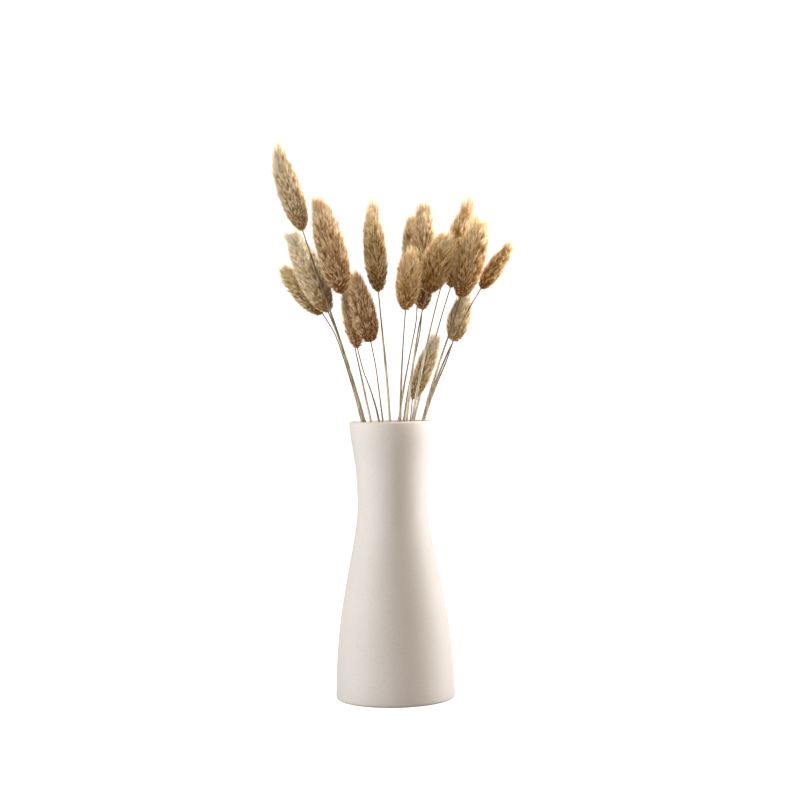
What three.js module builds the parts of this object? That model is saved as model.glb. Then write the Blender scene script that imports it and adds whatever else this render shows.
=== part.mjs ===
// A vase of dried bunny tail grass: a hollow ceramic vase with seventeen dried stalks standing in it.
// Each stalk is two pieces, a thin stem and the furry seed head on top of it.
// Millimetres, +Z up, origin at the centre of the vase's foot. The arrangement's front faces -Y.

import * as THREE from "three";

// The vase: its outline swells to the foot, narrows to a waist and flares again to the mouth.
const VASE_HEIGHT = 200;
const FOOT_RADIUS = 43;
const WAIST_RADIUS = 24.9;
const WAIST_HEIGHT = 146;
const MOUTH_RADIUS = 30;
const FOOT_ROUNDING = 2.5;
const WALL = 3;
const FLOOR = 6;
const INNER_CORNER = 5;
const VASE_SIDES = 48;
const OUTLINE_STEPS = 18;

// The stalks.
const STEM_RADIUS = 0.75;
const STEM_SIDES = 6;
const STEM_STEPS = 16;
const STEM_LIFT = 0.5; // the lowest point of a stem's centreline above the vase's floor
const NECK_BELOW_HEAD = 7; // how far below its head a stem takes up the head's own direction
const HEAD_GAP = 0.4;
const HEAD_SIDES = 10;
const HEAD_STEPS = 10;
const BASE_BLUNTNESS = 2.15; // 2 is an ellipse's end, and more than 2 is blunter
const TIP_BLUNTNESS = 1.85;

// The sheaf is a spiral, as a hand-tied bunch is: every foot is the stem's place in the mouth, turned
// about the axis and spread. All stems then pass the narrow waist without touching each other.
const SPIRAL_TURN = THREE.MathUtils.degToRad(125);
const FOOT_SPREAD = 1.15;

// From left to right: where the stem passes the mouth (x, y), where its head starts and ends (x, y, z),
// the head's radius at its thickest, and how far up the head that is, as a share of its length.
const STALKS = [
  { mouth: [-18.5, -9], start: [-59, -26, 335], end: [-75, -40, 389], radius: 9, belly: 0.45 },
  { mouth: [-21, 6], start: [-48, 18, 278], end: [-76, 28, 311], radius: 8.5, belly: 0.4 },
  { mouth: [-19, -1], start: [-43, -2, 278], end: [-68, -4, 334], radius: 10, belly: 0.4 },
  { mouth: [-14, -13], start: [-32, -24, 290], end: [-47, -34, 355], radius: 10.5, belly: 0.4 },
  { mouth: [-8.5, 5], start: [-23, 14, 252], end: [-30, 18, 300], radius: 7.5, belly: 0.4 },
  { mouth: [-5.5, -10], start: [-13, -4, 256], end: [-24, -8, 304], radius: 9, belly: 0.28 },
  { mouth: [-0.5, -1], start: [-7, 6, 292], end: [-11, 10, 352], radius: 8.5, belly: 0.4 },
  { mouth: [7, -17], start: [12, -34, 278], end: [16, -46, 317], radius: 8.5, belly: 0.4 },
  { mouth: [6, 9], start: [21, 16, 289], end: [18, 24, 345], radius: 9, belly: 0.4 },
  { mouth: [9.5, -5], start: [24, 0, 278], end: [27, 2, 353], radius: 9.5, belly: 0.4 },
  { mouth: [14.5, 10], start: [16, 9, 214], end: [33, 7, 257], radius: 7, belly: 0.45 },
  { mouth: [11.5, -13], start: [27.5, -22, 290.5], end: [41, -34, 328], radius: 10.6, belly: 0.4 },
  { mouth: [15.5, -8], start: [41, -4, 305], end: [56, -8, 348], radius: 7.5, belly: 0.4 },
  { mouth: [17, 19], start: [45, 18, 295], end: [63, 22, 346], radius: 9, belly: 0.4 },
  { mouth: [23, -6], start: [51, -20, 286], end: [65, -32, 337], radius: 10.2, belly: 0.5 },
  { mouth: [24, 1], start: [46, 6, 256], end: [55, 10, 286], radius: 8.3, belly: 0.4 },
  { mouth: [23, -11], start: [66, -8, 293], end: [86, -10, 321], radius: 6.7, belly: 0.35 },
];

const ceramic = new THREE.MeshStandardMaterial({ color: 0xe8e0d8, roughness: 0.75, metalness: 0 });
const straw = new THREE.MeshStandardMaterial({ color: 0x9c8d6a, roughness: 0.8, metalness: 0 });
const fur = new THREE.MeshStandardMaterial({ color: 0xb68c57, roughness: 0.95, metalness: 0 });

// The outer outline from just above the foot's rounding up to the mouth, as (radius, height).
function outerOutline() {
  const outline = new THREE.SplineCurve([
    new THREE.Vector2(FOOT_RADIUS, FOOT_ROUNDING),
    new THREE.Vector2(FOOT_RADIUS - 1.2, 30),
    new THREE.Vector2(FOOT_RADIUS - 4.3, 58),
    new THREE.Vector2(FOOT_RADIUS - 9.6, 88),
    new THREE.Vector2(WAIST_RADIUS + 3.4, 113),
    new THREE.Vector2(WAIST_RADIUS + 0.4, 132),
    new THREE.Vector2(WAIST_RADIUS, WAIST_HEIGHT),
    new THREE.Vector2(WAIST_RADIUS + 1.2, 168),
    new THREE.Vector2(MOUTH_RADIUS - 1, 187),
    new THREE.Vector2(MOUTH_RADIUS, VASE_HEIGHT - WALL / 2),
  ]);
  return outline.getSpacedPoints(OUTLINE_STEPS);
}

// Points on an arc in the outline's plane, between two angles, both ends included.
function arc(radius, height, size, from, to, steps) {
  return Array.from({ length: steps + 1 }, (_, i) => {
    const angle = THREE.MathUtils.degToRad(THREE.MathUtils.lerp(from, to, i / steps));
    return new THREE.Vector2(radius + size * Math.cos(angle), height + size * Math.sin(angle));
  });
}

// The inside follows the outline one wall thickness further in, down to the rounded corner at the floor.
function innerOutline(outside) {
  const lowest = FLOOR + INNER_CORNER;
  const wall = outside.slice(0, -1).filter((point) => point.y > lowest + 1);
  return wall.reverse().map((point) => new THREE.Vector2(point.x - WALL, point.y));
}

function makeVase() {
  const outside = outerOutline();
  const inside = innerOutline(outside);
  const lip = WALL / 2;
  const cornerRadius = FOOT_RADIUS - WALL - INNER_CORNER;
  const profile = [
    new THREE.Vector2(0, 0),
    ...arc(FOOT_RADIUS - FOOT_ROUNDING, FOOT_ROUNDING, FOOT_ROUNDING, -90, -20, 3),
    ...outside,
    ...arc(MOUTH_RADIUS - lip, VASE_HEIGHT - lip, lip, 36, 180, 4),
    ...inside,
    ...arc(cornerRadius, FLOOR + INNER_CORNER, INNER_CORNER, 0, -90, 3),
    new THREE.Vector2(0, FLOOR),
  ];
  const geometry = new THREE.LatheGeometry(profile, VASE_SIDES).rotateX(Math.PI / 2);
  const vase = new THREE.Mesh(geometry, ceramic);
  vase.name = "vase";
  return vase;
}

// Where a stem stands on the vase's floor.
function footOf(mouth) {
  const foot = mouth.clone().multiplyScalar(FOOT_SPREAD);
  foot.applyAxisAngle(new THREE.Vector3(0, 0, 1), SPIRAL_TURN);
  foot.z = FLOOR + STEM_LIFT;
  return foot;
}

function makeStem(name, mouth, start, direction) {
  const top = start.clone().addScaledVector(direction, -HEAD_GAP);
  const neck = start.clone().addScaledVector(direction, -NECK_BELOW_HEAD);
  const path = new THREE.CatmullRomCurve3([footOf(mouth), mouth, neck, top]);
  const section = new THREE.Shape(arc(0, 0, STEM_RADIUS, 0, 360, STEM_SIDES).slice(0, -1));
  const options = { steps: STEM_STEPS, bevelEnabled: false, extrudePath: path };
  const stem = new THREE.Mesh(new THREE.ExtrudeGeometry(section, options), straw);
  stem.name = name;
  return stem;
}

// A head's radius at a share of its length, as a share of its thickest radius.
function headFullness(share, belly) {
  const fromBelly = share < belly ? 1 - share / belly : (share - belly) / (1 - belly);
  const bluntness = share < belly ? BASE_BLUNTNESS : TIP_BLUNTNESS;
  return (1 - fromBelly ** bluntness) ** (1 / bluntness);
}

function makeHead(name, start, direction, length, radius, belly) {
  const between = Array.from({ length: HEAD_STEPS - 1 }, (_, i) => {
    const share = (1 - Math.cos((Math.PI * (i + 1)) / HEAD_STEPS)) / 2;
    return new THREE.Vector2(radius * headFullness(share, belly), length * share);
  });
  const profile = [new THREE.Vector2(0, 0), ...between, new THREE.Vector2(0, length)];
  const head = new THREE.Mesh(new THREE.LatheGeometry(profile, HEAD_SIDES), fur);
  head.name = name;
  head.position.copy(start);
  head.quaternion.setFromUnitVectors(new THREE.Vector3(0, 1, 0), direction);
  return head;
}

function makeStalk(stalk, index) {
  const number = String(index + 1).padStart(2, "0");
  const mouth = new THREE.Vector3(...stalk.mouth, VASE_HEIGHT);
  const start = new THREE.Vector3(...stalk.start);
  const end = new THREE.Vector3(...stalk.end);
  const length = start.distanceTo(end);
  const direction = end.clone().sub(start).normalize();
  return [
    makeStem("stem_" + number, mouth, start, direction),
    makeHead("seed_head_" + number, start, direction, length, stalk.radius, stalk.belly),
  ];
}

const arrangement = new THREE.Group();
arrangement.add(makeVase(), ...STALKS.flatMap(makeStalk));

export default arrangement;
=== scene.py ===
"""The looks of a vase of dried bunny tail grass: turned ceramic, dry stems and furry seed heads."""

import math

import bpy
import numpy as np
from mathutils import Matrix, Vector


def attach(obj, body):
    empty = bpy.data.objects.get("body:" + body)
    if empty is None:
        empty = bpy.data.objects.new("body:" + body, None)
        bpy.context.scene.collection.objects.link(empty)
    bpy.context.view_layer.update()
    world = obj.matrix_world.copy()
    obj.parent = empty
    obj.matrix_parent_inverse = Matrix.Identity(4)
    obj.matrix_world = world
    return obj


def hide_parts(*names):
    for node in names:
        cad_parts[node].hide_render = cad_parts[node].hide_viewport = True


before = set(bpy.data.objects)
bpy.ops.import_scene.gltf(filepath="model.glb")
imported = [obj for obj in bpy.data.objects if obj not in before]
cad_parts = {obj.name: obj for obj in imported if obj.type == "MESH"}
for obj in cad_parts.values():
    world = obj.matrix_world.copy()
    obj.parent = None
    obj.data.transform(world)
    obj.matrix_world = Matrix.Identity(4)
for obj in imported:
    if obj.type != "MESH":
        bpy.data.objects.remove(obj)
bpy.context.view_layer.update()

MM = 0.001
BODY = "root"
SEED = 7
HAIR_MAP = "OFBake"  # the map for colours: fur by tone across it and from root to tip up it, stems up it

# The camera, in metres and degrees.
CAMERA_PLACE = (0.007, -1.32, 0.239)
CAMERA_PITCH = 1.05
CAMERA_ROLL = 1.07
CAMERA_LENS = 82.5

# The studio: white paper, which gives less light to the object than it shows the eye, and a warm fill.
PAPER_BOUNCE = 0.45
PAPER_WHITE = 0.9
PAPER_GLOW = 0.9
FILL_COLOUR = (1, 0.65, 0.38)
FILL_STRENGTH = 0.26

# Each light: its name, where it stands and where it is aimed, its width and height in metres, its
# power in watts, its colour, and how wide it spreads in degrees.
LIGHTS = (
    ("left_softbox", (-1.14, -0.46, 0.45), (0, 0, 0.2), 0.8, 1.3, 16.5, (0.95, 0.975, 1), 180),
    ("right_softbox", (1.05, 0.24, 0.5), (0, 0, 0.22), 0.6, 1.3, 18.5, (1, 0.98, 0.96), 180),
    ("top_light", (0, 0.3, 1.9), (0, 0, 0), 1.6, 1.6, 7, (1, 1, 1), 180),
    ("hair_light", (0.55, 0.12, 0.66), (0, 0, 0.37), 0.2, 0.2, 0.3, (1, 0.97, 0.92), 22),
    ("head_light", (0.18, -0.90, 0.78), (0, 0, 0.39), 0.3, 0.3, 0.125, (1, 0.94, 0.84), 16),
)

# The vase. Its colour drifts between two tones, with fine specks that multiply it.
VASE_SIDES = 96
VASE_DARK = (0.76, 0.735, 0.70)
VASE_LIGHT = (0.81, 0.79, 0.765)
VASE_SPECK = (0.80, 0.76, 0.72)

# The stems: thick in the sheath round most of their length, thin and bare above it.
STEM_FOOT_RADIUS = 0.95 * MM
STEM_TOP_RADIUS = 0.42 * MM
STEM_SIDES = 10
STEM_RINGS = 70
STEM_INTO_HEAD = 4 * MM
SHEATH_ENDS = (0.72, 0.86)  # where the sheath may end, as a share of the stem's length
SHEATH_TAPER = 0.03
SHEATH_ON_MAP = 0.7  # where it ends on the stem's map
JOINT_SWELL = 0.3  # how much thicker a stem is at a joint, as a share of its radius
JOINT_LENGTH = 1.6 * MM
JOINT_SHARES = (0.3, 0.62)  # how far up a stem its joints are
JOINT_STRAY = 0.08
END_ON_MAP = 0.004  # how far from the map's edge a stem's end faces have their middle
CAD_STEM_SIDES = 6  # of the CAD stem that a centreline is read from

# The fur. Along a head, from its base at 0 to its tip at 1, the hairs turn up from pointing outwards
# to pointing along the head, and grow longer.
HAIRS_PER_MM2 = 4.9
HAIRS_PER_TUFT = 6
HAIR_RADIUS = 0.112 * MM
THICKEST = 0.6  # how far along a hair it is thickest
MAP_STRIP = 0.0015  # half the width of a hair on the hair map
PILE = 2.2 * MM  # how far the fur stands off the core
ROOT_DEPTH = 0.5 * MM  # how deep inside the core a hair starts
CORE_START = 0.02
CORE_END = 0.94
CORE_SIDES = 24
CORE_RINGS = 22
# The core takes the dark root colour, which is partly painted shade under the fur.
CORE_ON_MAP = 0.05  # how far up the hair map the core's colours reach
OUTLINE_SAMPLES = 400
GOLDEN_TURN = math.pi * (3 - math.sqrt(5))
ALONG_HEAD = (0.0, 0.06, 0.16, 0.35, 0.7, 0.85, 1.0)
HAIR_FAN = np.radians((104, 62, 38, 25, 17, 12, 8))
HAIR_LENGTHS = np.array((1.6, 2.3, 3.7, 5.7, 6.9, 7.5, 8.0)) * MM
HAIR_TONES = (0.36, 0.40, 0.44, 0.46, 0.58, 0.90, 1.25)
USUAL_RADIUS = 9 * MM  # of a head with hairs of just these lengths
TUFT_SPREAD = 0.54  # how far a tuft's hairs start from its middle, as a share of the tufts' spacing
TUFT_DRAW = 0.84  # how much closer together they end
WILD_HAIRS = 0.06  # the share of hairs that stand off the others
AWNS_PER_TUFT = 0.14
AWNS_AT_BASE = 0.6  # times that share at a head's base, and 1 more times it at the tip
AWN_FAN = 0.8  # how wide the awns stand, as a share of how wide the fur does
AWN_RADIUS = 0.08 * MM
AWN_LENGTH = 9.5 * MM
PLUMES = 4  # bunches of long awns at the tip
AWNS_PER_PLUME = 55
PLUME_LENGTH = 16.5 * MM
PLUME_START = 0.78  # how far up the core a plume's awns may start
PLUME_OUT = 0.34  # how far off the axis a plume stands, as a share of the head's radius
PLUME_LEAN = 0.15
PLUME_REACH = (0.45, 1.0)  # how long each plume is, as a share of the longest
PLUME_SHORTFALL = 0.7  # how much shorter than its plume an awn may be
PLUME_TONES = (0.15, 0.75)

# How much the hairs stray from those rules: a tuft in its place, way, length and tone, then a hair in
# its tuft, an awn and a plume. Lengths are shares of the hair's own, turns are in radians, and tones are
# on the hair map's scale from 0 to 1.
TUFT_TURN_STRAY = 0.15
TUFT_PLACE_STRAY = 0.012
TUFT_FAN_STRAY = np.radians(5)
TUFT_SIDE_STRAY = 0.10
TUFT_LENGTH_STRAY = 0.17
TUFT_TONE_STRAY = 0.40
HAIR_REACH = (0.7, 1.1)
HAIR_TIP_STRAY = 0.085
HAIR_TONE_STRAY = 0.24
HAIR_THICKNESS = (0.7, 1.2)
WILD_TIP_STRAY = 0.22
WILD_REACH = 1.15
CALM_BASE = 0.45  # how much of a hair's straying is left at a head's base
CALM_END = 0.2  # how far up the head all of it is back
AWN_FAN_STRAY = np.radians(7)
AWN_STRAY = 0.06
AWN_REACH = (0.7, 1.15)
AWN_TONES = (0.55, 0.98)
PLUME_TURN_STRAY = 0.8
PLUME_STRAY = 0.14

# The colours of one kind of head: at the roots and on the core, a dark tone that is partly the fur's own
# and partly painted shade deep in the fur, then the tones of its hairs from the darkest to the palest.
FUR_COLOURS = {
    "pale": ((0.32, 0.180, 0.055), (0.42, 0.250, 0.085), (0.99, 0.76, 0.40), (1.00, 0.94, 0.78)),
    "golden": ((0.28, 0.115, 0.022), (0.38, 0.165, 0.036), (1.00, 0.60, 0.17), (1.00, 0.88, 0.60)),
    "russet": ((0.20, 0.075, 0.014), (0.28, 0.105, 0.020), (0.84, 0.45, 0.115), (1.00, 0.89, 0.64)),
    "olive": ((0.18, 0.088, 0.015), (0.27, 0.130, 0.026), (0.76, 0.46, 0.11), (1.00, 0.87, 0.58)),
    "straw": ((0.36, 0.200, 0.056), (0.48, 0.280, 0.088), (1.00, 0.82, 0.44), (1.00, 0.95, 0.80)),
}

# The colours of a stem: its sheath's, and its bare top's.
STEM_COLOURS = {
    "straw": ((0.86, 0.79, 0.63), (0.27, 0.19, 0.11)),
    "olive": ((0.37, 0.33, 0.21), (0.15, 0.10, 0.05)),
    "brown": ((0.60, 0.48, 0.35), (0.20, 0.13, 0.07)),
}

# Each stalk, from left to right: its fur, its stem, and how long the wisps at its tip are.
STALKS = (
    ("pale", "olive", 1.15),
    ("olive", "straw", 0.45),
    ("straw", "olive", 0.85),
    ("russet", "straw", 0.90),
    ("golden", "brown", 0.60),
    ("russet", "straw", 0.55),
    ("olive", "straw", 1.25),
    ("golden", "brown", 0.60),
    ("golden", "straw", 0.85),
    ("russet", "brown", 1.10),
    ("straw", "straw", 0.70),
    ("golden", "straw", 0.60),
    ("golden", "straw", 1.45),
    ("straw", "straw", 1.00),
    ("golden", "straw", 0.85),
    ("straw", "straw", 0.70),
    ("golden", "brown", 0.80),
)


# ---------------------------------------------------------------- reading the frame


def corners_of(node):
    """A CAD node's corners, each once, and its faces as triples of them."""
    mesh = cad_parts[node].data
    points = np.empty(len(mesh.vertices) * 3, np.float32)
    mesh.vertices.foreach_get("co", points)
    places, index = np.unique(points.reshape(-1, 3).round(6), axis=0, return_inverse=True)
    mesh.calc_loop_triangles()
    faces = np.empty(len(mesh.loop_triangles) * 3, np.int32)
    mesh.loop_triangles.foreach_get("vertices", faces)
    return places.astype(float), index.ravel()[faces].reshape(-1, 3)


def outline_of(node):
    """A turned node's outline as (radius, height), from the axis under it to the axis inside it."""
    places, faces = corners_of(node)
    on_outline = (np.abs(places[:, 1]) < 1e-6) & (places[:, 0] > -1e-6)
    edges = np.concatenate([faces[:, [0, 1]], faces[:, [1, 2]], faces[:, [2, 0]]])
    edges = edges[on_outline[edges].all(1) & (edges[:, 0] != edges[:, 1])]
    here = int(np.argmin(np.hypot(places[:, 0], places[:, 2]) + np.abs(places[:, 1])))
    walked = [here]
    while True:
        nearby = edges[(edges == here).any(1)]
        onward = [int(i) for i in nearby.ravel() if int(i) not in walked]
        if not onward:
            return places[walked][:, [0, 2]]
        here = onward[0]
        walked.append(here)


def centreline_of(node):
    """The centres of a stem's rings, from its foot up."""
    places = corners_of(node)[0]
    rings = places[np.argsort(places[:, 2])].reshape(-1, CAD_STEM_SIDES, 3)
    return rings.mean(1)


def smooth_line(points, count):
    """A Catmull-Rom curve through points, as count points and the direction at each."""
    points = np.vstack([2 * points[0] - points[1], points, 2 * points[-1] - points[-2]])
    place = np.linspace(0, len(points) - 3 - 1e-6, count)
    low = place.astype(int)
    t = (place - low)[:, None]
    a, b, c, d = (points[low + i] for i in range(4))
    line = 0.5 * (2 * b + (c - a) * t + (2 * a - 5 * b + 4 * c - d) * t**2 + (3 * b - a - 3 * c + d) * t**3)
    along = np.gradient(line, axis=0)
    return line, along / np.linalg.norm(along, axis=1)[:, None]


class Head:
    """The axis and the outline of a seed head, read from its CAD node."""

    def __init__(self, node, stem_top):
        places = corners_of(node)[0]
        self.start = places[np.argmin(np.linalg.norm(places - stem_top, axis=1))]
        end = places[np.argmax(np.linalg.norm(places - self.start, axis=1))]
        self.length = float(np.linalg.norm(end - self.start))
        self.axis = (end - self.start) / self.length
        along = (places - self.start) @ self.axis
        off = np.linalg.norm(places - self.start - along[:, None] * self.axis, axis=1)
        order = np.argsort(along)
        self.shares = along[order] / self.length
        self.radii = off[order]
        self.thickness = float(off.max())
        self.inset = 1 - PILE / self.thickness
        self.size = math.sqrt(self.thickness / USUAL_RADIUS)
        self.side = np.cross(self.axis, (0.0, 1.0, 0.0))
        self.side /= np.linalg.norm(self.side)
        self.front = np.cross(self.axis, self.side)

    def radius(self, share):
        return np.interp(share, self.shares, self.radii)


# ---------------------------------------------------------------- building meshes


def make_mesh(name, points, faces, uv=None):
    """A mesh object of triangles, with a place on the hair map for each of their corners."""
    mesh = bpy.data.meshes.new(name)
    mesh.vertices.add(len(points))
    mesh.vertices.foreach_set("co", np.asarray(points, np.float32).ravel())
    mesh.loops.add(faces.size)
    mesh.loops.foreach_set("vertex_index", faces.astype(np.int32).ravel())
    mesh.polygons.add(len(faces))
    mesh.polygons.foreach_set("loop_start", np.arange(0, faces.size, 3, dtype=np.int32))
    if uv is not None:
        layer = mesh.uv_layers.new(name=HAIR_MAP)
        layer.uv.foreach_set("vector", uv.astype(np.float32).ravel())
    mesh.update(calc_edges=True)
    mesh.shade_smooth()
    piece = bpy.data.objects.new(name, mesh)
    bpy.context.scene.collection.objects.link(piece)
    return piece


def grid_faces(rings, sides, first=0):
    """The triangles between rings of points that each close on themselves."""
    ring, side = np.meshgrid(np.arange(rings - 1), np.arange(sides), indexing="ij")
    a = first + ring * sides + side
    b = first + ring * sides + (side + 1) % sides
    c, d = a + sides, b + sides
    return np.concatenate([np.stack([a, b, d], -1).reshape(-1, 3), np.stack([a, d, c], -1).reshape(-1, 3)])


def grid_places(rings, sides):
    """The place on the map of each corner of grid_faces: round the rings, and up them from 0 to 1."""
    ring, side = np.meshgrid(np.arange(rings - 1), np.arange(sides), indexing="ij")
    left, right = side / sides, (side + 1) / sides
    low, high = ring / (rings - 1), (ring + 1) / (rings - 1)
    a, b, c, d = (np.stack(place, -1) for place in ((left, low), (right, low), (left, high), (right, high)))
    return np.concatenate([np.stack([a, b, d], 2).reshape(-1, 2), np.stack([a, d, c], 2).reshape(-1, 2)])


def across(direction):
    """Two unit vectors across each direction, so that the three are right-handed."""
    helper = np.where(np.abs(direction[:, 2:]) < 0.9, (0.0, 0.0, 1.0), (1.0, 0.0, 0.0))
    u = np.cross(helper, direction)
    u /= np.linalg.norm(u, axis=1)[:, None]
    return u, np.cross(direction, u)


def finish_piece(piece, node, material):
    """Gives a piece its material, hangs it under the body, and hides the CAD node it stands for."""
    piece.data.materials.append(material)
    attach(piece, BODY)
    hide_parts(node)


# ---------------------------------------------------------------- materials


class Nodes:
    """A new material's node tree, with short ways to add and link nodes."""

    def __init__(self, name):
        self.material = bpy.data.materials.new(name)
        self.material.use_nodes = True
        self.tree = self.material.node_tree
        self.shader = self.tree.nodes["Principled BSDF"]

    def add(self, kind, **settings):
        node = self.tree.nodes.new("ShaderNode" + kind)
        for key, value in settings.items():
            if key in node.inputs:
                node.inputs[key].default_value = value
            else:
                setattr(node, key, value)
        return node

    def link(self, output, target):
        self.tree.links.new(output, target)
        return target

    def ramp(self, factor, stops):
        node = self.add("ValToRGB")
        while len(node.color_ramp.elements) < len(stops):
            node.color_ramp.elements.new(0.5)
        for element, (place, colour) in zip(node.color_ramp.elements, stops):
            element.position = place
            element.color = (*colour, 1)
        self.link(factor, node.inputs["Fac"])
        return node.outputs["Color"]

    def mix(self, factor, a, b, blend="MIX"):
        node = self.add("Mix", data_type="RGBA", blend_type=blend)
        for value, socket in ((factor, node.inputs[0]), (a, node.inputs[6]), (b, node.inputs[7])):
            if isinstance(value, bpy.types.NodeSocket):
                self.link(value, socket)
            else:
                socket.default_value = value
        return node.outputs[2]

    def noise(self, coordinates, scale, detail=3.0, stretch=(1, 1, 1)):
        mapping = self.add("Mapping")
        mapping.inputs["Scale"].default_value = stretch
        self.link(coordinates, mapping.inputs["Vector"])
        node = self.add("TexNoise", Scale=scale, Detail=detail)
        self.link(mapping.outputs["Vector"], node.inputs["Vector"])
        return node.outputs["Fac"]

    def bump(self, height, strength, distance):
        node = self.add("Bump", Strength=strength, Distance=distance)
        self.link(height, node.inputs["Height"])
        self.link(node.outputs["Normal"], self.shader.inputs["Normal"])


def ceramic_material():
    """Matte, warm off-white stoneware with a fine tooth and faint throwing marks."""
    nodes = Nodes("ceramic")
    place = nodes.add("TexCoord").outputs["Object"]
    cloud = nodes.noise(place, scale=14, detail=4)
    grain = nodes.noise(place, scale=900, detail=2)
    body = nodes.ramp(cloud, [(0.3, VASE_DARK), (0.7, VASE_LIGHT)])
    speck = nodes.ramp(grain, [(0.28, VASE_SPECK), (0.42, (1, 1, 1))])
    nodes.link(nodes.mix(0.5, body, speck, "MULTIPLY"), nodes.shader.inputs["Base Color"])
    rough = nodes.add("MapRange", **{"To Min": 0.52, "To Max": 0.68})
    nodes.link(cloud, rough.inputs["Value"])
    nodes.link(rough.outputs["Result"], nodes.shader.inputs["Roughness"])
    rings = nodes.noise(place, scale=60, stretch=(0.05, 0.05, 1.0))
    relief = nodes.add("Math", operation="MULTIPLY_ADD")
    relief.inputs[1].default_value = 0.35
    nodes.link(rings, relief.inputs[0])
    nodes.link(grain, relief.inputs[2])
    nodes.bump(relief.outputs["Value"], strength=0.25, distance=0.15 * MM)
    return nodes.material


def stem_material(name, sheath, bare):
    """Dry grass straw: a streaky sheath round most of its length, and a thin darker stalk above it."""
    nodes = Nodes(name)
    place = nodes.add("TexCoord").outputs["Object"]
    streak = nodes.noise(place, scale=500, stretch=(1, 1, 0.04))
    blotch = nodes.noise(place, scale=45, stretch=(1, 1, 0.6))
    split = nodes.add("SeparateXYZ")
    nodes.link(nodes.add("UVMap", uv_map=HAIR_MAP).outputs["UV"], split.inputs["Vector"])
    along = nodes.add("Math", operation="MULTIPLY_ADD")
    along.inputs[1].default_value = 0.25
    nodes.link(blotch, along.inputs[0])
    nodes.link(split.outputs["Y"], along.inputs[2])
    change = ((SHEATH_ON_MAP + 0.08, (0, 0, 0)), (SHEATH_ON_MAP + 0.17, (1, 1, 1)))
    above = nodes.ramp(along.outputs["Value"], change)
    straw = nodes.ramp(streak, [(0.34, tuple(0.4 * part for part in sheath)), (0.58, sheath)])
    stalk = nodes.ramp(streak, [(0.36, tuple(0.5 * part for part in bare)), (0.6, bare)])
    shade = nodes.ramp(blotch, [(0.35, (0.66, 0.60, 0.52)), (0.6, (1, 1, 1))])
    colour = nodes.mix(above, straw, stalk)
    nodes.link(nodes.mix(0.7, colour, shade, "MULTIPLY"), nodes.shader.inputs["Base Color"])
    nodes.shader.inputs["Roughness"].default_value = 0.55
    nodes.bump(streak, strength=0.5, distance=0.1 * MM)
    return nodes.material


def fur_material(name, colours):
    """Silky dry hair: dark at the roots, partly its own tone and partly painted shade deep in the fur, and
    pale at the tips, each hair of its own tone.
    """
    root, dark, light, tip = colours
    nodes = Nodes("fur_" + name)
    place = nodes.add("UVMap", uv_map=HAIR_MAP).outputs["UV"]
    split = nodes.add("SeparateXYZ")
    nodes.link(place, split.inputs["Vector"])
    tone, along = split.outputs["X"], split.outputs["Y"]
    middle = nodes.ramp(tone, [(0.2, dark), (0.68, light), (1.0, tip)])
    ends = nodes.ramp(tone, [(0.0, dark), (0.22, light), (0.55, tip)])
    # Partly painted shade: each hair has the dark root colour at its foot and fades to its own tone by 0.4
    # up the map, darkest deep in the fur.
    to_middle = nodes.ramp(along, [(0.05, (0, 0, 0)), (0.4, (1, 1, 1))])
    to_ends = nodes.ramp(along, [(0.55, (0, 0, 0)), (1.0, (1, 1, 1))])
    base = nodes.mix(to_middle, (*root, 1), middle)
    nodes.link(nodes.mix(to_ends, base, ends), nodes.shader.inputs["Base Color"])
    nodes.shader.inputs["Roughness"].default_value = 0.6
    nodes.shader.inputs["Specular IOR Level"].default_value = 0.25
    nodes.shader.inputs["Sheen Weight"].default_value = 0.2
    nodes.shader.inputs["Sheen Roughness"].default_value = 0.4
    nodes.shader.inputs["Sheen Tint"].default_value = (*tip, 1)
    return nodes.material


# ---------------------------------------------------------------- the pieces


def make_vase(material):
    """The CAD vase's own outline, turned in finer steps and smoothed."""
    outline = outline_of("vase")
    inner = outline[1:-1]
    turn = np.linspace(0, 2 * math.pi, VASE_SIDES, endpoint=False)
    rings = np.stack(
        [
            inner[:, :1] * np.cos(turn),
            inner[:, :1] * np.sin(turn),
            np.repeat(inner[:, 1:], VASE_SIDES, 1),
        ],
        -1,
    )
    poles = [(0, 0, outline[0, 1]), (0, 0, outline[-1, 1])]
    points = np.vstack([rings.reshape(-1, 3), poles])
    faces = grid_faces(len(inner), VASE_SIDES)
    side = np.arange(VASE_SIDES)
    after = (side + 1) % VASE_SIDES
    last = (len(inner) - 1) * VASE_SIDES
    under = np.stack([np.full(VASE_SIDES, len(points) - 2), after, side], 1)
    inside = np.stack([np.full(VASE_SIDES, len(points) - 1), last + side, last + after], 1)
    piece = make_mesh("ceramic_vase", points, np.vstack([faces, under, inside]))
    finish_piece(piece, "vase", material)


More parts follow.
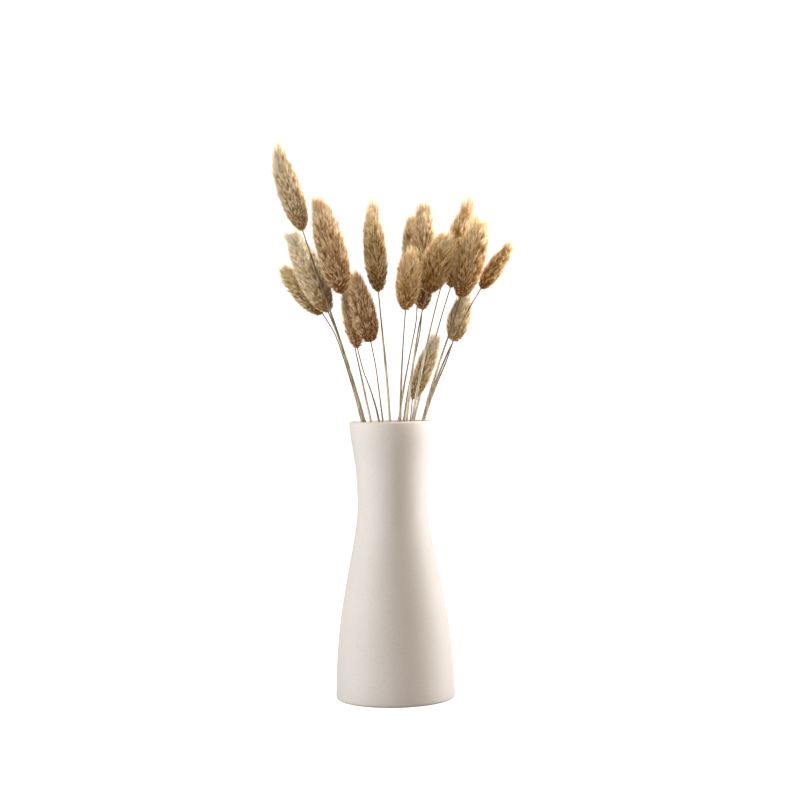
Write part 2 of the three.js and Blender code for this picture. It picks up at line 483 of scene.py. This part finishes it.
def make_stem(number, line, material, rng):
    """A tapered stem with two faint joints, run on a little way into its head."""
    top = line[-1] + (line[-1] - line[-2]) / np.linalg.norm(line[-1] - line[-2]) * STEM_INTO_HEAD
    line, along = smooth_line(np.vstack([line, top]), STEM_RINGS)
    share = np.linspace(0, 1, STEM_RINGS)
    sheath_end = rng.uniform(*SHEATH_ENDS)
    sheath = 1 / (1 + np.exp((share - sheath_end) / SHEATH_TAPER))
    radius = STEM_TOP_RADIUS + (STEM_FOOT_RADIUS - STEM_TOP_RADIUS) * sheath
    length = np.linalg.norm(np.diff(line, axis=0), axis=1).sum()
    for joint in JOINT_SHARES:
        off = (share - joint - rng.uniform(-JOINT_STRAY, JOINT_STRAY)) * length / JOINT_LENGTH
        radius *= 1 + JOINT_SWELL * np.exp(-(off**2))
    u, v = across(along)
    turn = np.linspace(0, 2 * math.pi, STEM_SIDES, endpoint=False)
    rim = u[:, None] * np.cos(turn)[None, :, None] + v[:, None] * np.sin(turn)[None, :, None]
    rings = line[:, None] + rim * radius[:, None, None]
    points = np.vstack([rings.reshape(-1, 3), line[:1], line[-1:]])
    side = np.arange(STEM_SIDES)
    after = (side + 1) % STEM_SIDES
    last = (STEM_RINGS - 1) * STEM_SIDES
    foot = np.stack([np.full(STEM_SIDES, len(points) - 2), after, side], 1)
    cap = np.stack([np.full(STEM_SIDES, len(points) - 1), last + side, last + after], 1)
    faces = np.vstack([grid_faces(STEM_RINGS, STEM_SIDES), foot, cap])
    end = np.stack([np.full(STEM_SIDES, 0.5), after / STEM_SIDES, side / STEM_SIDES], 1)
    foot_up = np.tile([END_ON_MAP, 0.0, 0.0], (STEM_SIDES, 1))
    cap_up = np.tile([1 - END_ON_MAP, 1.0, 1.0], (STEM_SIDES, 1))
    foot_places = np.stack([end, foot_up], -1).reshape(-1, 2)
    cap_places = np.stack([end, cap_up], -1).reshape(-1, 2)
    places = np.vstack([grid_places(STEM_RINGS, STEM_SIDES), foot_places, cap_places])
    places[:, 1] = np.interp(places[:, 1], (0, sheath_end, 1), (0, SHEATH_ON_MAP, 1))
    piece = make_mesh("dried_stem_" + number, points, faces, places)
    finish_piece(piece, "stem_" + number, material)


def core_outline(head, share):
    """Where the core's surface is: how far along the axis, and how far from it."""
    along = head.length * (CORE_START + (CORE_END - CORE_START) * share)
    return along, head.radius(share) * head.inset


def core_of(head):
    """The head's solid core, a closed spindle, as points, faces and places on the hair map."""
    share = (1 - np.cos(np.linspace(0, math.pi, CORE_RINGS))) / 2
    along, radius = core_outline(head, share)
    turn = np.linspace(0, 2 * math.pi, CORE_SIDES, endpoint=False)
    rim = np.cos(turn)[:, None] * head.side + np.sin(turn)[:, None] * head.front
    rings = head.start + along[:, None, None] * head.axis + radius[:, None, None] * rim
    points = np.vstack([rings[1:-1].reshape(-1, 3), rings[0, :1], rings[-1, :1]])
    side = np.arange(CORE_SIDES)
    after = (side + 1) % CORE_SIDES
    last = (CORE_RINGS - 3) * CORE_SIDES
    foot = np.stack([np.full(CORE_SIDES, len(points) - 2), after, side], 1)
    top = np.stack([np.full(CORE_SIDES, len(points) - 1), last + side, last + after], 1)
    faces = np.vstack([grid_faces(CORE_RINGS - 2, CORE_SIDES), foot, top])
    across_map = np.tile(side / CORE_SIDES, CORE_RINGS - 2)
    # The core sits at the foot of the hair map, so it takes the dark root colour: partly painted shade
    # under the fur.
    up_map = np.repeat(share[1:-1], CORE_SIDES) * CORE_ON_MAP
    place = np.vstack([np.stack([across_map, up_map], 1), [[0.5, 0], [0.5, CORE_ON_MAP]]])
    return points, faces, place[faces].reshape(-1, 2)


def on_core(head, share, turn):
    """The core's surface there: the point, the way out of the surface, and the way out from the axis."""
    step = 1e-3
    along, radius = core_outline(head, share)
    along_up, radius_up = core_outline(head, np.minimum(share + step, 1))
    along_down, radius_down = core_outline(head, np.maximum(share - step, 0))
    rise, swell = along_up - along_down, radius_up - radius_down
    size = np.hypot(rise, swell)
    radial = np.cos(turn)[:, None] * head.side + np.sin(turn)[:, None] * head.front
    point = head.start + along[:, None] * head.axis + radius[:, None] * radial
    normal = (rise / size)[:, None] * radial - (swell / size)[:, None] * head.axis
    return point, normal, radial


def unit(vectors):
    """The same directions, each one unit long."""
    return vectors / np.linalg.norm(vectors, axis=1)[:, None]


def spikes(root, tip, radius, tone, rng):
    """A closed three-sided spindle for each hair, as points, faces and places on the hair map."""
    count = len(root)
    u, v = across(unit(tip - root))
    turn = rng.uniform(0, 2 * math.pi, count)[:, None] + np.arange(3) * 2 * math.pi / 3
    rim = u[:, None] * np.cos(turn)[..., None] + v[:, None] * np.sin(turn)[..., None]
    middle = root + THICKEST * (tip - root)
    rim = middle[:, None] + rim * radius[:, None, None]
    points = np.concatenate([rim, root[:, None], tip[:, None]], 1)
    corner = np.array([[0, 1, 4], [1, 2, 4], [2, 0, 4], [1, 0, 3], [2, 1, 3], [0, 2, 3]])
    faces = (np.arange(count)[:, None, None] * 5 + corner).reshape(-1, 3)
    left = np.stack([tone - MAP_STRIP, 0 * tone + THICKEST], 1)
    right = np.stack([tone + MAP_STRIP, 0 * tone + THICKEST], 1)
    end = np.stack([tone, 0 * tone + 1], 1)
    start = np.stack([tone, 0 * tone], 1)
    outer = np.stack([left, right, end], 1)
    inner = np.stack([right, left, start], 1)
    place = np.stack([outer, outer, outer, inner, inner, inner], 1)
    return points.reshape(-1, 3), faces, place.reshape(-1, 2)


def tufts_of(head, rng):
    """Tufts set evenly over the core in a spiral: their share of the length and their turn about it."""
    share = np.linspace(0.0, 1.0, OUTLINE_SAMPLES)
    along, radius = core_outline(head, share)
    strip = radius * np.hypot(np.gradient(along), np.gradient(radius))
    area = 2 * math.pi * strip.sum()
    count = int(area / MM**2 * HAIRS_PER_MM2 / HAIRS_PER_TUFT)
    wanted = (np.arange(count) + 0.5) / count
    spread = np.cumsum(strip) / strip.sum()
    turn = np.arange(count) * GOLDEN_TURN + rng.normal(0, TUFT_TURN_STRAY, count)
    share = np.interp(wanted, spread, share) + rng.normal(0, TUFT_PLACE_STRAY, count)
    return share.clip(0.001, 0.999), turn


def fur_of(head, share, turn, rng):
    """The short fur, in tufts whose hairs draw together towards their tips."""
    count = len(share)
    point, normal, radial = on_core(head, share, turn)
    twist = np.cross(head.axis, radial)
    fan = np.interp(share, ALONG_HEAD, HAIR_FAN) + TUFT_FAN_STRAY * rng.normal(size=count)
    aim = np.cos(fan)[:, None] * head.axis + np.sin(fan)[:, None] * radial
    aim = unit(aim + TUFT_SIDE_STRAY * rng.normal(size=(count, 1)) * twist)
    length = head.size * np.interp(share, ALONG_HEAD, HAIR_LENGTHS)
    length *= 1 + TUFT_LENGTH_STRAY * rng.normal(size=count)
    tuft_tone = np.interp(share, ALONG_HEAD, HAIR_TONES) + TUFT_TONE_STRAY * rng.normal(size=count)

    each = np.repeat(np.arange(count), HAIRS_PER_TUFT)
    hairs = len(each)
    spacing = math.sqrt(HAIRS_PER_TUFT / HAIRS_PER_MM2) * MM
    shift = rng.normal(0, TUFT_SPREAD * spacing, (hairs, 3))
    shift -= (shift * normal[each]).sum(1)[:, None] * normal[each]
    root = point[each] + shift - ROOT_DEPTH * normal[each]
    wild = (rng.uniform(size=hairs) < WILD_HAIRS)[:, None]
    reach = (length[each] * rng.uniform(*HAIR_REACH, hairs))[:, None]
    calm = np.interp(share[each], (0.0, CALM_END), (CALM_BASE, 1.0))[:, None]
    stray = reach * calm * np.where(wild, WILD_TIP_STRAY, HAIR_TIP_STRAY)
    scatter = rng.normal(0, 1, (hairs, 3)) * stray
    outward = np.where(wild, WILD_REACH, 1) * reach * aim[each]
    tip = point[each] + (1 - TUFT_DRAW) * shift + outward + scatter
    tone = (tuft_tone[each] + rng.normal(0, HAIR_TONE_STRAY, hairs)).clip(0.01, 0.99)
    return spikes(root, tip, HAIR_RADIUS * rng.uniform(*HAIR_THICKNESS, hairs), tone, rng)


def awns_of(head, share, turn, rng):
    """Single long awns that stand out of the fur all over the head."""
    chosen = rng.uniform(size=len(share)) < AWNS_PER_TUFT * (AWNS_AT_BASE + share)
    share, turn = share[chosen], turn[chosen]
    count = len(share)
    point, _, radial = on_core(head, share, turn)
    fan = AWN_FAN * np.interp(share, ALONG_HEAD, HAIR_FAN) + AWN_FAN_STRAY * rng.normal(size=count)
    aim = np.cos(fan)[:, None] * head.axis + np.sin(fan)[:, None] * radial
    aim = unit(aim + rng.normal(0, AWN_STRAY, (count, 3)))
    reach = head.size * AWN_LENGTH * rng.uniform(*AWN_REACH, count)
    tone = rng.uniform(*AWN_TONES, count)
    return spikes(point, point + reach[:, None] * aim, np.full(count, AWN_RADIUS), tone, rng)


def plumes_of(head, size, rng):
    """The wisps at the tip: bunches of long awns, each bunch drawn towards its own point."""
    each = np.repeat(np.arange(PLUMES), AWNS_PER_PLUME)
    count = len(each)
    middle = rng.uniform(0, 2 * math.pi, PLUMES)
    turn = middle[each] + rng.normal(0, PLUME_TURN_STRAY, count)
    share = rng.uniform(PLUME_START, 1.0, count)
    point = on_core(head, share, turn)[0]
    out = np.cos(middle)[:, None] * head.side + np.sin(middle)[:, None] * head.front
    lean = unit(head.axis + rng.uniform(0.0, PLUME_LEAN, (PLUMES, 1)) * out)
    top = head.start + CORE_END * head.length * head.axis + PLUME_OUT * head.thickness * out
    reach = size * PLUME_LENGTH * rng.uniform(*PLUME_REACH, PLUMES)
    end = top + reach[:, None] * lean
    tip = end[each] + rng.normal(0, PLUME_STRAY, (count, 3)) * PLUME_LENGTH
    tip -= (rng.uniform(0, PLUME_SHORTFALL, count) * reach[each])[:, None] * lean[each]
    tone = rng.uniform(*PLUME_TONES, count)
    return spikes(point, tip, np.full(count, AWN_RADIUS), tone, rng)


def make_head(number, head, plume, material, rng):
    """A seed head: its core, its fur, its awns and the wisps at its tip, joined in one mesh."""
    share, turn = tufts_of(head, rng)
    parts = [
        core_of(head),
        fur_of(head, share, turn, rng),
        awns_of(head, share, turn, rng),
        plumes_of(head, plume, rng),
    ]
    points, faces, places, first = [], [], [], 0
    for part_points, part_faces, part_places in parts:
        points.append(part_points)
        faces.append(part_faces + first)
        places.append(part_places)
        first += len(part_points)
    piece = make_mesh("furry_head_" + number, np.vstack(points), np.vstack(faces), np.vstack(places))
    finish_piece(piece, "seed_head_" + number, material)


# ---------------------------------------------------------------- the studio


def make_camera():
    """A long lens in front of the object, a little above the vase's mouth."""
    data = bpy.data.cameras.new("camera")
    data.lens = CAMERA_LENS
    camera = bpy.data.objects.new("camera", data)
    tilt = Matrix.Rotation(math.radians(90 - CAMERA_PITCH), 4, "X")
    roll = Matrix.Rotation(math.radians(-CAMERA_ROLL), 4, "Z")
    camera.matrix_world = Matrix.Translation(CAMERA_PLACE) @ tilt @ roll
    bpy.context.scene.collection.objects.link(camera)
    bpy.context.scene.camera = camera


def make_light(name, place, aim, width, height, power, colour, spread):
    """One soft rectangular light."""
    data = bpy.data.lights.new(name, "AREA")
    data.shape = "RECTANGLE"
    data.size, data.size_y = width, height
    data.energy = power
    data.spread = math.radians(spread)
    data.color = colour
    light = bpy.data.objects.new(name, data)
    light.location = place
    light.rotation_euler = (Vector(aim) - Vector(place)).to_track_quat("-Z", "Y").to_euler()
    bpy.context.scene.collection.objects.link(light)


def make_stage():
    """A white floor that sweeps up into a backdrop behind the object."""
    bend, steps, width, behind, before, height = 0.8, 16, 4.0, 1.6, 3.0, 3.0
    angle = np.linspace(0, math.pi / 2, steps)
    y = np.concatenate([[-before], behind + bend * np.sin(angle), [behind + bend]])
    z = np.concatenate([[0], bend - bend * np.cos(angle), [height]])
    rows = len(y)
    points = np.vstack([np.stack([np.full(rows, x), y, z], 1) for x in (-width, width)])
    a = np.arange(rows - 1)
    faces = np.vstack([np.stack([a, a + rows, a + rows + 1], 1), np.stack([a, a + rows + 1, a + 1], 1)])
    floor = make_mesh("studio_floor", points, faces)
    nodes = Nodes("studio_paper")
    seen = nodes.add("LightPath").outputs["Is Camera Ray"]
    paper = nodes.mix(seen, (*[PAPER_BOUNCE] * 3, 1), (*[PAPER_WHITE] * 3, 1))
    nodes.link(paper, nodes.shader.inputs["Base Color"])
    nodes.shader.inputs["Roughness"].default_value = 0.9
    nodes.shader.inputs["Emission Color"].default_value = (1, 1, 1, 1)
    glow = nodes.add("Math", operation="MULTIPLY")
    glow.inputs[1].default_value = PAPER_GLOW
    nodes.link(seen, glow.inputs[0])
    nodes.link(glow.outputs["Value"], nodes.shader.inputs["Emission Strength"])
    floor.data.materials.append(nodes.material)


def make_air():
    """The light from all round: a dim warm fill, behind a background that looks white."""
    world = bpy.data.worlds.new("studio_air")
    world.use_nodes = True
    tree = world.node_tree
    seen = tree.nodes.new("ShaderNodeLightPath").outputs["Is Camera Ray"]
    mix = tree.nodes.new("ShaderNodeMix")
    mix.data_type = "RGBA"
    mix.inputs[6].default_value = (*[FILL_STRENGTH * part for part in FILL_COLOUR], 1)
    mix.inputs[7].default_value = (1, 1, 1, 1)
    tree.links.new(seen, mix.inputs[0])
    tree.links.new(mix.outputs[2], tree.nodes["Background"].inputs["Color"])
    bpy.context.scene.world = world


def make_studio():
    """The paper, the air and the lights, with colours shown as they are."""
    make_stage()
    make_air()
    for light in LIGHTS:
        make_light(*light)
    bpy.context.scene.view_settings.view_transform = "Standard"


def build():
    """The whole scene. The random draws are made stalk by stalk, the stem's first."""
    rng = np.random.default_rng(SEED)
    make_camera()
    make_studio()
    make_vase(ceramic_material())
    stems = {name: stem_material("stem_" + name, *colours) for name, colours in STEM_COLOURS.items()}
    furs = {name: fur_material(name, colours) for name, colours in FUR_COLOURS.items()}
    for index, (fur, stem, plume) in enumerate(STALKS):
        number = f"{index + 1:02d}"
        line = centreline_of("stem_" + number)
        make_stem(number, line, stems[stem], rng)
        make_head(number, Head("seed_head_" + number, line[-1]), plume, furs[fur], rng)


build()
